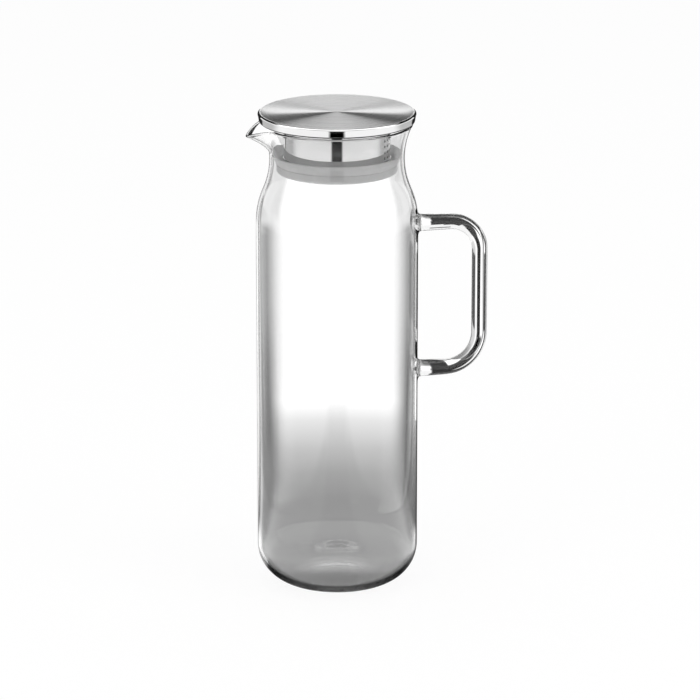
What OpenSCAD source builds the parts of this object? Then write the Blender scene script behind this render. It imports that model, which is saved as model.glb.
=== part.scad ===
// Blown glass water jug with a drawn beak, a welded rod handle and a steel strainer lid
// Millimetres, +Z up. Origin on the vessel's axis at the foot, handle towards +X, beak towards -X

/* [Vessel] */
// Height from the foot to the top of the rim
jug_h = 279; // [265:1:320]
// Diameter of the straight body
body_d = 95; // [90:1:110]
// Thickness of the blown wall
wall = 1.4; // [1.1:0.1:2]
// Thickness of the floor
floor_t = 2.6; // [2:0.1:5]
// Radius of the rounded heel
heel_r = 22; // [14:1:26]
// Width of the flat ring that the jug stands on
foot_w = 6.5; // [3:0.5:9]
// Height of the push-up inside that ring
punt_h = 1.2; // [0.4:0.1:2]

/* [Neck] */
// Diameter at the waist of the neck
neck_d = 79; // [76:1:82]
// Radius of the curve from the waist out to the rim
flare_r = 46.2; // [42:0.2:56]
// Distance from the rim down to the waist
waist_drop = 21; // [19:0.5:24]
// Distance from the waist down to the start of the shoulder
shoulder_drop = 38; // [34:1:48]
// Thickness of the fire-polished rim
rim_d = 1.9; // [1.6:0.1:2.6]

/* [Beak] */
// How far the beak reaches past the rim
beak_reach = 9; // [5:0.5:12]
// How far its tip dips below the rim
beak_dip = 5.8; // [3:0.2:7]
// Half of the angle that it takes out of the rim
beak_angle = 25; // [20:1:34]
// Height of the neck that is drawn out into the beak
beak_h = 17; // [15:0.5:18]

/* [Handle] */
// Diameter of the glass rod along the grip
rod_d = 9.2; // [7:0.2:11]
// Diameter of the rod where its arms meet the vessel
arm_d = 10.2; // [9:0.2:12]
// Distance from the body's wall to the centre of the grip
grip_gap = 37.5; // [30:0.5:46]
// Distance between the centres of the two arms
arm_span = 89; // [76:1:110]
// Distance from the start of the shoulder down to the upper arm
arm_drop = 3; // [0:0.5:20]
// Radius of the upper bend, on the rod's centre line
upper_bend_r = 17.5; // [12:0.5:22]
// Radius of the lower bend, on the rod's centre line
lower_bend_r = 20.5; // [12:0.5:24]
// Radius of the fillet that each weld leaves on the rod
weld_r = 1.8; // [0.8:0.1:2.6]

/* [Lid] */
// Diameter of the lid
lid_d = 92.2; // [90:0.2:100]
// Height of the lid's edge
lid_h = 5.1; // [4.4:0.1:8]
// Gap between the rim and the underside of the lid
lid_gap = 1.3; // [0.8:0.1:2.5]
// Width of the polished rounding round the brushed face
edge_w = 2.6; // [1.6:0.1:3.4]
// Height of that rounding
edge_h = 2.9; // [1.6:0.1:3.2]
// How far the side leans in towards its lower edge
edge_lean = 0.6; // [0.2:0.1:1]
// Thickness of the steel sheet
sheet = 0.7; // [0.5:0.1:0.9]

/* [Strainer collar] */
// Outer diameter of the tube
collar_d = 62; // [58:0.5:64]
// Width of the flange that is welded under the lid
flange_w = 4; // [2.5:0.5:6]
// Radius of the two rolled beads that hold the seal
bead_r = 0.9; // [0.6:0.1:1.1]
// Diameter of each strainer hole
hole_d = 1.7; // [1:0.1:2.2]
// Distance between the rows of holes, up the tube
row_pitch = 3.5; // [3:0.1:3.8]
// Distance between neighbouring holes, round the tube
column_pitch = 3.6; // [3:0.1:4.4]
// Number of rows
rows = 4; // [2:1:4]
// Number of holes in a row
columns = 12; // [4:2:18]
// Distance from the rim down to the first row
first_row_drop = 7.4; // [7:0.1:8]

/* [Seal] */
// Distance from the rim down to the lip of the seal
lip_drop = 18.8; // [18:0.1:20]
// Height of the seal
seal_h = 10.2; // [9.6:0.1:11]
// Diameter of the seal below its lip
seal_d = 70.6; // [68:0.2:72]
// Height of the straight ring below the lip's flare
ring_h = 5.6; // [4.5:0.1:6]
// Thickness of the lip
lip_t = 1; // [0.7:0.1:1.3]
// Radius of the rounded lower edge
seal_edge_r = 2; // [1:0.1:2.2]
// Depth of the groove that runs round the ring
groove_d = 0.3; // [0.1:0.1:0.5]

/* [Hidden] */
$fn = 96;

// Running clearances and the overrun of cuts
weld_clear = 0.03;
lip_clear = 0.2;
bore_clear = 0.05;
bead_clear = 0.15;
pan_clear = 0.05;
overrun = 2;
// Step by which the foot of the worked mouth stands inside the turned wall
seam_step = 0.1;

// Steps along the round stretches of the outlines
heel_steps = 14;
neck_steps = 14;
edge_steps = 8;
bead_steps = 8;

// Vessel
body_r = body_d / 2;
neck_r = neck_d / 2;
foot_r = body_r - heel_r;
punt_r = foot_r - foot_w;
waist_z = jug_h - waist_drop;
shoulder_z = waist_z - shoulder_drop;
flare_x = neck_r + flare_r;
// The shoulder's curve touches the straight body and the neck's curve
flare_in = flare_x - body_r;
shoulder_r = (pow(flare_in, 2) + pow(shoulder_drop, 2) - pow(flare_r, 2)) / (2 * (flare_r - flare_in));
shoulder_x = body_r - shoulder_r;
shoulder_a = asin(shoulder_drop / (flare_r + shoulder_r));

// Rim and beak
rim_r = rim_d / 2;
rim_z = jug_h - rim_r - wall / 2 * waist_drop / flare_r;
beak_z = jug_h - beak_h;
mouth_sides = 96;
mouth_rows = 9;
rim_steps = 6;
beak_focus_share = 0.5;
tip_round_share = 0.07;
side_round_share = 0.12;
beak_curl_share = 1.65;
beak_flat_share = 1.33;
channel_spread_share = 0.3;
channel_thin_share = 0.25;

// Handle
rod_r = rod_d / 2;
arm_r = arm_d / 2;
grip_x = body_r + grip_gap;
upper_z = shoulder_z - arm_drop;
lower_z = upper_z - arm_span;
weld_l = rod_d;
weld_steps = 6;

// Lid
lid_r = lid_d / 2;
face_r = lid_r - edge_w;
lid_z = jug_h + lid_gap;
lid_top = lid_z + lid_h;
hem_r = lid_r - edge_lean;
pan_r = hem_r - sheet - pan_clear;
pan_rise = sheet / 2;
pan_z = lid_z + pan_rise;
pan_h = lid_h - edge_h - pan_rise;

// Collar and seal
collar_r = collar_d / 2;
collar_in_r = collar_r - sheet;
lip_z = jug_h - lip_drop;
seal_z = lip_z - seal_h;
seal_r = seal_d / 2;
lip_r = neck_in(lip_z) - lip_clear;
flare_z = seal_z + ring_h;
upper_bead_z = lip_z - 2 * bead_r;
ledge_z = upper_bead_z - bead_r - bead_clear;
lower_bead_z = seal_z + 2 * bead_r;
seat_z = lower_bead_z + bead_r + bead_clear;
bore_r = collar_r + bore_clear;
seat_r = collar_r + bead_r + bead_clear;
hole_z = jug_h - first_row_drop;
column_a = column_pitch / collar_r * 180 / PI;

// Points on a circle or an ellipse, from one angle to another
function arc(x, z, rx, rz, from, to, steps) =
    [for (i = [0:steps]) let (a = from + (to - from) * i / steps) [x + rx * cos(a), z + rz * sin(a)]];

// Radius of the neck's outer and inner wall at a height
function neck_out(z) = flare_x - sqrt(pow(flare_r, 2) - pow(z - waist_z, 2));
function neck_in(z) = flare_x - sqrt(pow(flare_r + wall, 2) - pow(z - waist_z, 2));

// Wall of the shoulder and neck up to a height, moved out from the real one by grow
function neck_wall(grow, top) =
    let (r = flare_r - grow, end = asin((top - waist_z) / r))
    concat(
        arc(shoulder_x, shoulder_z, shoulder_r + grow, shoulder_r + grow, 0, shoulder_a, neck_steps),
        arc(flare_x, waist_z, r, r, 180 + shoulder_a, 180 - end, neck_steps)
    );

// Outline of the vessel below the beak
function vessel_outline() = concat(
    [[0, punt_h]],
    punt_curve(),
    arc(foot_r, heel_r, heel_r, heel_r, -90, 0, heel_steps),
    neck_wall(0, beak_z),
    reverse(neck_wall(-wall, beak_z)),
    arc(foot_r, heel_r, heel_r - wall, heel_r - floor_t, 0, -90, heel_steps),
    [[0, floor_t + punt_h]]
);

// The push-up, a shallow dome whose edge rests on the foot ring
function punt_curve() = [for (i = [1:edge_steps])
    let (share = i / edge_steps) [punt_r * share, punt_h * (1 - pow(share, 2))]];

function reverse(list) = [for (i = [len(list) - 1:-1:0]) list[i]];

// Angle of a column of points round the mouth, closer together at the beak
function mouth_angle(i) =
    let (turn = 360 * i / mouth_sides - 180) turn - beak_focus_share * sin(turn) * 180 / PI;

// Share of the way from the beak's side to its tip, rounded at both
function beak_share(a, spread) =
    let (
        tip = beak_angle * tip_round_share,
        off = sqrt(pow(a, 2) + pow(tip, 2)) - tip,
        share = max(0, 1 - off / (beak_angle * spread))
    )
    (sqrt(pow(share, 2) + pow(side_round_share, 2)) - side_round_share)
        / (sqrt(1 + pow(side_round_share, 2)) - side_round_share);

// How far a point is drawn out: a round channel low down, a sharp beak at the rim
function beak_lift(a, level) =
    let (
        spread = 1 + channel_spread_share * (1 - level),
        sharp = beak_share(a, spread),
        round = (1 - cos(180 * sharp)) / 2
    )
    beak_reach * pow(level, beak_curl_share) * (sharp * level + round * (1 - level));

// Height of the rim's centre at an angle from the beak
function rim_height(a) = rim_z - beak_dip * pow(beak_share(a, 1), beak_flat_share);

// Outer wall of the mouth as [radius, height], by angle and by level from 0 to 1
function mouth_outer(a, level) = [
    neck_out(beak_z + (rim_z - beak_z) * level) + beak_lift(a, level),
    beak_z + (rim_height(a) - beak_z) * level
];

// Direction out of the wall in the same plane, level at the foot of the mouth
function mouth_normal(a, level) =
    let (
        low = mouth_outer(a, level - 1 / mouth_rows),
        high = mouth_outer(a, level),
        lean = (high[0] - low[0]) / (high[1] - low[1]),
        share = min(1, level * mouth_rows / 2),
        slope = lean * share
    )
    [1, -slope] / sqrt(1 + pow(slope, 2));

// Wall thickness, drawn thinner towards the tip of the beak
function mouth_wall(a, level) = wall * (1 - channel_thin_share * level * beak_share(a, 1));

// Section of the mouth at one angle: outer wall, fire-polished rim, inner wall
function mouth_section(a) =
    let (
        foot = mouth_outer(a, 0),
        out = [for (k = [1:mouth_rows - 1]) mouth_outer(a, k / mouth_rows)],
        inner = [for (k = [mouth_rows - 1:-1:1])
            let (level = k / mouth_rows)
            mouth_outer(a, level) - mouth_wall(a, level) * mouth_normal(a, level)],
        n = mouth_normal(a, 1),
        t = [-n[1], n[0]],
        centre = mouth_outer(a, 1) - wall / 2 * n,
        rim = [for (k = [0:rim_steps])
            let (b = -30 + 240 * k / rim_steps) centre + rim_r * (cos(b) * n + sin(b) * t)]
    )
    concat([foot - [seam_step, seam_step]], out, rim, inner, [foot - [wall - seam_step, seam_step]]);

// Worked mouth of the vessel, as one closed ring of sections
module mouth() {
    sections = [for (i = [0:mouth_sides - 1]) mouth_section(mouth_angle(i))];
    count = len(sections[0]);
    points = [for (i = [0:mouth_sides - 1]) let (a = mouth_angle(i) + 180)
        for (p = sections[i]) [p[0] * cos(a), p[0] * sin(a), p[1]]];
    faces = [for (i = [0:mouth_sides - 1]) for (k = [0:count - 1])
        let (
            i2 = (i + 1) % mouth_sides,
            k2 = (k + 1) % count,
            p = i * count + k,
            q = i2 * count + k,
            r = i2 * count + k2,
            s = i * count + k2
        )
        each [[p, r, q], [p, s, r]]];
    polyhedron(points = points, faces = faces, convexity = 6);
}

module glass_body() {
    color("lightcyan", 0.4) {
        rotate_extrude() polygon(vessel_outline());
        mouth();
    }
}

// One quarter bend of the rod, from pointing along +X to pointing along +Z
module rod_bend(bend_r) {
    translate([0, 0, bend_r])
        rotate([90, 0, 0])
            rotate([0, 0, -90])
                rotate_extrude(angle = 90) translate([bend_r, 0]) circle(r = rod_r);
}

// Arm of the handle with its weld fillet, from the vessel's axis to a bend
module rod_arm(length) {
    fillet = reverse(arc(weld_r, 0, weld_r, weld_r, 90, 180, weld_steps));
    rotate([0, 90, 0]) {
        translate([0, 0, body_r]) cylinder(r1 = arm_r, r2 = rod_r, h = length - body_r);
        rotate_extrude()
            polygon(concat(
                [[0, body_r - weld_l], [arm_r + weld_r, body_r - weld_l]],
                [for (p = fillet) [arm_r + weld_r - p[1], body_r + p[0]]],
                [[0, body_r + weld_r]]
            ));
    }
}

module glass_handle() {
    grip_low = lower_z + lower_bend_r;
    grip_high = upper_z - upper_bend_r;
    color("lightcyan", 0.5)
        difference() {
            union() {
                translate([0, 0, upper_z]) rod_arm(grip_x - upper_bend_r);
                translate([0, 0, lower_z]) rod_arm(grip_x - lower_bend_r);
                translate([grip_x - lower_bend_r, 0, lower_z]) rod_bend(lower_bend_r);
                translate([grip_x - upper_bend_r, 0, upper_z])
                    mirror([0, 0, 1]) rod_bend(upper_bend_r);
                translate([grip_x, 0, grip_low]) cylinder(r = rod_r, h = grip_high - grip_low);
            }
            rotate_extrude()
                polygon(concat(
                    [[0, 0], [body_r + weld_clear, 0]],
                    neck_wall(weld_clear, beak_z),
                    [[0, beak_z]]
                ));
        }
}

// Top of the lid: one drawn steel shell with a rounded, polished edge
module lid_cap() {
    color("silver")
        rotate_extrude()
            polygon(concat(
                [[0, lid_top]],
                reverse(arc(face_r, lid_top - edge_h, edge_w, edge_h, 0, 90, edge_steps)),
                [[hem_r, lid_z], [hem_r - sheet, lid_z]],
                arc(face_r, lid_top - edge_h, edge_w - sheet, edge_h - sheet, 0, 90, edge_steps),
                [[0, lid_top - sheet]]
            ));
}

// Underside of the lid: a pressed pan whose rim stands up inside the cap
module lid_pan() {
    color("gainsboro")
        rotate_extrude()
            polygon([
                [0, pan_z],
                [pan_r, pan_z],
                [pan_r, pan_z + pan_h],
                [pan_r - sheet, pan_z + pan_h],
                [pan_r - sheet, pan_z + sheet],
                [0, pan_z + sheet]
            ]);
}

// Open tube under the lid, with a welded flange, two rolled beads and a field of holes
module strainer_collar() {
    tube_h = pan_z - lower_bead_z;
    color("lightgray")
        difference() {
            rotate_extrude()
                polygon(concat(
                    [[collar_in_r - flange_w, pan_z], [collar_in_r - flange_w, pan_z - sheet]],
                    [[collar_in_r, pan_z - sheet], [collar_in_r, lower_bead_z - bead_r]],
                    arc(collar_r, lower_bead_z, bead_r, bead_r, -90, 90, bead_steps),
                    arc(collar_r, upper_bead_z, bead_r, bead_r, -90, 90, bead_steps),
                    [[collar_r, pan_z]]
                ));
            for (row = [0:rows - 1]) for (column = [0:columns - 1])
                rotate([0, 0, (column - (columns - 1) / 2) * column_a])
                    translate([collar_in_r - overrun, 0, hole_z - row * row_pitch])
                        rotate([0, 90, 0]) cylinder(d = hole_d, h = sheet + 2 * overrun, $fn = 24);
        }
}

// Moulded ring between the beads, with a lip that flares out to the neck
module silicone_seal() {
    lip_in_r = seal_r - lip_t;
    lip_top_r = lip_r - lip_t / 2;
    color("whitesmoke", 0.8)
        rotate_extrude()
            polygon(concat(
                [[bore_r, seat_z], [seat_r, seat_z], [seat_r, seal_z]],
                arc(seal_r - seal_edge_r, seal_z + seal_edge_r, seal_edge_r, seal_edge_r, -90, 0, edge_steps),
                [[seal_r, flare_z - 2 * groove_d], [seal_r - groove_d, flare_z - groove_d]],
                [[seal_r, flare_z]],
                arc(lip_top_r, lip_z - lip_t / 2, lip_t / 2, lip_t / 2, -45, 135, edge_steps),
                [[lip_in_r, ledge_z], [bore_r, ledge_z]]
            ));
}

glass_body();
glass_handle();
lid_cap();
lid_pan();
strainer_collar();
silicone_seal();
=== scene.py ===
import bpy
from math import asin, atan2, cos, degrees, hypot, pi, radians, sin, sqrt
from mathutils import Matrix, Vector


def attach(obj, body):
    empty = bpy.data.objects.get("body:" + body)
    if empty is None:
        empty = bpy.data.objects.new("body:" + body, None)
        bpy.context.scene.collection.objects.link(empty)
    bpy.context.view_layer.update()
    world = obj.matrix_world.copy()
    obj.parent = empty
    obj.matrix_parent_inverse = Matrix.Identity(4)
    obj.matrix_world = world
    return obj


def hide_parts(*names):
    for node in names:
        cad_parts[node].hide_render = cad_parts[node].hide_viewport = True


# Glass water jug with a steel strainer lid. Metres, the jug's axis on Z, handle towards +X, beak towards -X

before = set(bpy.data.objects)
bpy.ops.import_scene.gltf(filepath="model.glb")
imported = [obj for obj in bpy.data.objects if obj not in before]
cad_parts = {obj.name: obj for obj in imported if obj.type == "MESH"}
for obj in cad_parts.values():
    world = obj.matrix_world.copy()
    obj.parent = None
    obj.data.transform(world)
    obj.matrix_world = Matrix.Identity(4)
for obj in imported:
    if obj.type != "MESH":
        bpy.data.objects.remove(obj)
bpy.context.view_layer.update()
print("frame loaded:", ", ".join(sorted(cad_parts)))


shot = {
    "azimuth": -9.0, "elevation": 16.5, "distance": 2.36, "target": (0.00746, -0.00118, 0.14118),
    "lens": 205.7, "sensor": 36.0, "clipStart": 0.05, "clipEnd": 60.0,
}


# A long lens from the front, a little above the lid
def addCamera():
    turn, rise = radians(shot["azimuth"]), radians(shot["elevation"])
    back = Vector((sin(turn) * cos(rise), -cos(turn) * cos(rise), sin(rise)))
    data = bpy.data.cameras.new("shotCamera")
    data.lens = shot["lens"]
    data.sensor_width = shot["sensor"]
    data.clip_start, data.clip_end = shot["clipStart"], shot["clipEnd"]
    camera = bpy.data.objects.new("shotCamera", data)
    camera.location = Vector(shot["target"]) + back * shot["distance"]
    camera.rotation_mode = "QUATERNION"
    camera.rotation_quaternion = (-back).to_track_quat("-Z", "Y")
    bpy.context.scene.collection.objects.link(camera)
    bpy.context.scene.camera = camera


addCamera()
print("camera placed")


def addNode(tree, kind, place=(0, 0), **values):
    node = tree.nodes.new(kind)
    node.location = place
    for name, value in values.items():
        setattr(node, name, value)
    return node


def plug(tree, value, socket):
    if isinstance(value, bpy.types.NodeSocket):
        tree.links.new(value, socket)
    else:
        socket.default_value = value


def calc(tree, operation, first, second=None, third=None):
    node = addNode(tree, "ShaderNodeMath", operation=operation)
    for socket, value in zip(node.inputs, (first, second, third)):
        if value is not None:
            plug(tree, value, socket)
    return node.outputs["Value"]


def fade(tree, value, low, high, toLow=0.0, toHigh=1.0):
    node = addNode(tree, "ShaderNodeMapRange", interpolation_type="SMOOTHSTEP")
    plug(tree, value, node.inputs["Value"])
    for name, number in (("From Min", low), ("From Max", high), ("To Min", toLow), ("To Max", toHigh)):
        node.inputs[name].default_value = number
    return node.outputs["Result"]


def grey(level):
    return (level, level, level, 1.0)


def ramp(tree, value, stops):
    node = addNode(tree, "ShaderNodeValToRGB")
    plug(tree, value, node.inputs["Fac"])
    elements = node.color_ramp.elements
    for element, (position, _) in zip(elements, (stops[0], stops[-1])):
        element.position = position
    for position, _ in stops[1:-1]:
        elements.new(position)
    for element, (_, level) in zip(elements, stops):
        element.color = grey(level)
    return node.outputs["Color"]


def splitVector(tree, vector, place=(0, 0)):
    parts = addNode(tree, "ShaderNodeSeparateXYZ", place)
    tree.links.new(vector, parts.inputs["Vector"])
    return [parts.outputs[name] for name in "XYZ"]


def axisDistance(tree, x, y):
    squares = calc(tree, "ADD", calc(tree, "MULTIPLY", x, x), calc(tree, "MULTIPLY", y, y))
    return calc(tree, "SQRT", squares)


def both(tree, first, second):
    return calc(tree, "MULTIPLY", first, second)


# A mask that rises over one span of the value and falls again over another
def between(tree, value, rise, fall):
    return both(tree, fade(tree, value, *rise), fade(tree, value, *fall))


# A factor that is 1 outside the mask and loses the amount inside it
def darken(tree, mask, amount):
    return calc(tree, "MULTIPLY_ADD", mask, -amount, 1.0)


def blend(tree, share, first, second):
    if isinstance(second, bpy.types.NodeSocket):
        return calc(tree, "MULTIPLY_ADD", share, calc(tree, "SUBTRACT", second, first), first)
    return calc(tree, "ADD", calc(tree, "MULTIPLY", first, calc(tree, "SUBTRACT", 1.0, share)),
                calc(tree, "MULTIPLY", share, second))


def mixColours(tree, share, first, second):
    node = addNode(tree, "ShaderNodeMix", data_type="RGBA")
    for socket, value in zip((node.inputs[0], node.inputs[6], node.inputs[7]), (share, first, second)):
        plug(tree, value, socket)
    return node.outputs[2]


def mixLevels(tree, share, first, second):
    node = addNode(tree, "ShaderNodeMix", data_type="FLOAT")
    for socket, value in zip((node.inputs[0], node.inputs[2], node.inputs[3]), (share, first, second)):
        plug(tree, value, socket)
    return node.outputs[0]


def mixShaders(tree, factor, first, second):
    node = addNode(tree, "ShaderNodeMixShader")
    plug(tree, factor, node.inputs["Fac"])
    tree.links.new(first, node.inputs[1])
    tree.links.new(second, node.inputs[2])
    return node.outputs["Shader"]


def glow(tree, strength):
    node = addNode(tree, "ShaderNodeEmission")
    plug(tree, strength, node.inputs["Strength"])
    return node.outputs["Emission"]


def emptyTree(owner):
    owner.use_nodes = True
    owner.node_tree.nodes.clear()
    return owner.node_tree


def newGroup(name, inputs, outputs):
    group = bpy.data.node_groups.new(name, "ShaderNodeTree")
    for socketName, kind, value in inputs:
        socket = group.interface.new_socket(socketName, in_out="INPUT", socket_type=kind)
        if value is not None:
            socket.default_value = value
    for socketName, kind in outputs:
        group.interface.new_socket(socketName, in_out="OUTPUT", socket_type=kind)
    start = addNode(group, "NodeGroupInput", (-900, 0))
    end = addNode(group, "NodeGroupOutput", (600, 0))
    return group, start, end


def useGroup(tree, group, place=(0, 0), **values):
    node = addNode(tree, "ShaderNodeGroup", place, node_tree=group)
    for name, value in values.items():
        plug(tree, value, node.inputs[name])
    return node


# Turn is 0 straight behind the jug as the camera sees it and 1 on the camera's side, Reach the distance from the axis,
# Across the distance to the right and Behind the distance away from the camera
def makeStudioMap():
    group, start, end = newGroup("studioMap", [("Vector", "NodeSocketVector", None)],
                                 [("Turn", "NodeSocketFloat"), ("Reach", "NodeSocketFloat"),
                                  ("Across", "NodeSocketFloat"), ("Behind", "NodeSocketFloat")])
    turned = addNode(group, "ShaderNodeVectorRotate", (-700, 0), rotation_type="Z_AXIS")
    turned.inputs["Angle"].default_value = -radians(shot["azimuth"])
    group.links.new(start.outputs["Vector"], turned.inputs["Vector"])
    x, y, _ = splitVector(group, turned.outputs["Vector"], (-520, 0))
    angle = calc(group, "ARCTAN2", calc(group, "ABSOLUTE", x), y)
    group.links.new(calc(group, "DIVIDE", angle, pi), end.inputs["Turn"])
    group.links.new(axisDistance(group, x, y), end.inputs["Reach"])
    group.links.new(x, end.inputs["Across"])
    group.links.new(y, end.inputs["Behind"])
    return group


grain = {"lines": 3000.0, "lineDetail": 3.0, "lineRoughness": 0.7, "patches": 40.0, "patchDetail": 2.0}


# Fine lines that run round the axis, as a lathe belt leaves them, and broad uneven patches of handling
def makeTurnedGrain():
    group, start, end = newGroup(
        "turnedGrain",
        [("Vector", "NodeSocketVector", None), ("Lines", "NodeSocketFloat", grain["lines"]),
         ("Patches", "NodeSocketFloat", grain["patches"])],
        [("Streak", "NodeSocketFloat"), ("Patch", "NodeSocketFloat")])
    x, y, z = splitVector(group, start.outputs["Vector"], (-700, 0))
    where = calc(group, "ADD", axisDistance(group, x, y), z)
    lines = addNode(group, "ShaderNodeTexNoise", (-200, 0), noise_dimensions="1D")
    lines.inputs["Detail"].default_value = grain["lineDetail"]
    lines.inputs["Roughness"].default_value = grain["lineRoughness"]
    plug(group, where, lines.inputs["W"])
    plug(group, start.outputs["Lines"], lines.inputs["Scale"])
    group.links.new(lines.outputs["Fac"], end.inputs["Streak"])
    patches = addNode(group, "ShaderNodeTexNoise", (-200, -300))
    patches.inputs["Detail"].default_value = grain["patchDetail"]
    plug(group, start.outputs["Vector"], patches.inputs["Vector"])
    plug(group, start.outputs["Patches"], patches.inputs["Scale"])
    group.links.new(patches.outputs["Fac"], end.inputs["Patch"])
    return group


blown = {"swell": 20.0, "scuffHeight": 0.0005, "scuffScale": 900.0, "scuffDetail": 4.0}


# Slow swells that blowing and drawing leave in glass, and scuffs low down where it is set on tables
def makeBlownSurface():
    group, start, end = newGroup(
        "blownSurface",
        [("Vector", "NodeSocketVector", None), ("Swell", "NodeSocketFloat", blown["swell"]),
         ("Scuff Height", "NodeSocketFloat", blown["scuffHeight"])],
        [("Height", "NodeSocketFloat"), ("Scuff", "NodeSocketFloat")])
    swell = addNode(group, "ShaderNodeTexNoise", (-300, 100))
    swell.inputs["Detail"].default_value = 0.0
    plug(group, start.outputs["Vector"], swell.inputs["Vector"])
    plug(group, start.outputs["Swell"], swell.inputs["Scale"])
    group.links.new(swell.outputs["Fac"], end.inputs["Height"])
    z = splitVector(group, start.outputs["Vector"], (-700, -200))[2]
    low = calc(group, "LESS_THAN", z, start.outputs["Scuff Height"])
    marks = addNode(group, "ShaderNodeTexNoise", (-300, -300))
    marks.inputs["Scale"].default_value = blown["scuffScale"]
    marks.inputs["Detail"].default_value = blown["scuffDetail"]
    plug(group, start.outputs["Vector"], marks.inputs["Vector"])
    group.links.new(calc(group, "MULTIPLY", low, marks.outputs["Fac"]), end.inputs["Scuff"])
    return group


studioMap = makeStudioMap()
turnedGrain = makeTurnedGrain()
blownSurface = makeBlownSurface()
print("shared effects made")


# The span of a noise in which nearly all its values lie, and how much a colour varies over it
noiseLow, noiseHigh, tintSpread = 0.3, 0.7, 0.02


def newMaterial(name):
    material = bpy.data.materials.new(name)
    tree = emptyTree(material)
    shader = addNode(tree, "ShaderNodeBsdfPrincipled", (200, 0))
    output = addNode(tree, "ShaderNodeOutputMaterial", (500, 0))
    tree.links.new(shader.outputs["BSDF"], output.inputs["Surface"])
    place = addNode(tree, "ShaderNodeTexCoord", (-1000, 0)).outputs["Object"]
    return material, tree, shader, place


def addBump(tree, shader, height, strength, distance):
    bump = addNode(tree, "ShaderNodeBump", (0, -300))
    bump.inputs["Strength"].default_value = strength
    bump.inputs["Distance"].default_value = distance
    plug(tree, height, bump.inputs["Height"])
    tree.links.new(bump.outputs["Normal"], shader.inputs["Normal"])


glassLook = {
    "ior": 1.47, "scuffRoughness": 0.35, "scuffHeight": 0.0004, "noScuff": -1.0, "bodySwell": 22.0, "rodSwell": 90.0,
    # The weld's tint greys the glass where the handle joins the wall: painted shade
    "bodyDepth": 0.00003, "rodDepth": 0.00002, "weldShadeTint": 0.5,
}


def makeGlass(name, swell, depth, scuffHeight, tint=1.0):
    material, tree, shader, place = newMaterial(name)
    shader.inputs["Base Color"].default_value = grey(tint)
    shader.inputs["Transmission Weight"].default_value = 1.0
    shader.inputs["IOR"].default_value = glassLook["ior"]
    surface = useGroup(tree, blownSurface, (-600, 0), **{"Vector": place, "Swell": swell, "Scuff Height": scuffHeight})
    plug(tree, calc(tree, "MULTIPLY", surface.outputs["Scuff"], glassLook["scuffRoughness"]),
         shader.inputs["Roughness"])
    addBump(tree, shader, surface.outputs["Height"], 1.0, depth)
    return material


def tintRamp(tree, noise, colour):
    return ramp(tree, noise, [(noiseLow, colour - tintSpread), (noiseHigh, colour + tintSpread)])


# Steel that is smooth all over, with painted shade inside the given radius
def makeSmoothSteel(name, look):
    material, tree, shader, place = newMaterial(name)
    shader.inputs["Metallic"].default_value = 1.0
    turned = useGroup(tree, turnedGrain, (-600, 0), Vector=place, Lines=look["lines"], Patches=look["patches"])
    low, high = look["roughness"] * (1 - look["uneven"]), look["roughness"] * (1 + look["uneven"])
    plug(tree, fade(tree, turned.outputs["Streak"], noiseLow, noiseHigh, toLow=low, toHigh=high),
         shader.inputs["Roughness"])
    shade = tintRamp(tree, turned.outputs["Patch"], look["colour"])
    # Painted shade: near-black colour inside the radius darkens the tube's inside and its holes
    if look["insideShadeRadius"]:
        x, y, _ = splitVector(tree, place, (-800, -300))
        inside = calc(tree, "LESS_THAN", axisDistance(tree, x, y), look["insideShadeRadius"])
        shade = mixColours(tree, inside, shade, grey(look["insideShadeColour"]))
    plug(tree, shade, shader.inputs["Base Color"])
    return material


def arc(x, z, radiusX, radiusZ, fromAngle, toAngle, steps):
    points = []
    for i in range(steps + 1):
        angle = radians(fromAngle + (toAngle - fromAngle) * i / steps)
        points.append((x + radiusX * cos(angle), z + radiusZ * sin(angle)))
    return points


# Closer points are merged
mergeGap = 0.000002


def deselectAll():
    bpy.ops.object.select_all(action="DESELECT")


# Draws an outline point by point in the XZ plane and spins it round the axis
def turnOutline(name, outline, steps):
    deselectAll()
    bpy.ops.mesh.primitive_plane_add(size=0.001, location=(0, 0, 0))
    piece = bpy.context.object
    piece.name = piece.data.name = name
    bpy.ops.object.mode_set(mode="EDIT")
    bpy.ops.mesh.select_all(action="SELECT")
    bpy.ops.mesh.merge(type="CENTER")
    bpy.ops.transform.translate(value=(outline[0][0], 0, outline[0][1]))
    for (x, z), (nextX, nextZ) in zip(outline, outline[1:]):
        bpy.ops.mesh.extrude_region_move(TRANSFORM_OT_translate={"value": (nextX - x, 0, nextZ - z)})
    bpy.ops.mesh.select_all(action="SELECT")
    bpy.ops.mesh.spin(steps=steps, angle=2 * pi, center=(0, 0, 0), axis=(0, 0, 1))
    bpy.ops.mesh.select_all(action="SELECT")
    bpy.ops.mesh.remove_doubles(threshold=mergeGap)
    bpy.ops.mesh.normals_make_consistent(inside=False)
    bpy.ops.object.mode_set(mode="OBJECT")
    return piece


def applyModifier(piece, kind, **values):
    deselectAll()
    piece.select_set(True)
    bpy.context.view_layer.objects.active = piece
    modifier = piece.modifiers.new(kind.lower(), kind)
    for name, value in values.items():
        setattr(modifier, name, value)
    bpy.ops.object.modifier_apply(modifier=modifier.name)


def finishPiece(piece, material, body, node, smoothAngle):
    deselectAll()
    piece.select_set(True)
    bpy.context.view_layer.objects.active = piece
    bpy.ops.object.shade_smooth_by_angle(angle=radians(smoothAngle))
    piece.data.materials.clear()
    piece.data.materials.append(material)
    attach(piece, body)
    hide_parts(node)
    print(piece.name, "made with", len(piece.data.polygons), "faces")


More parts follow.
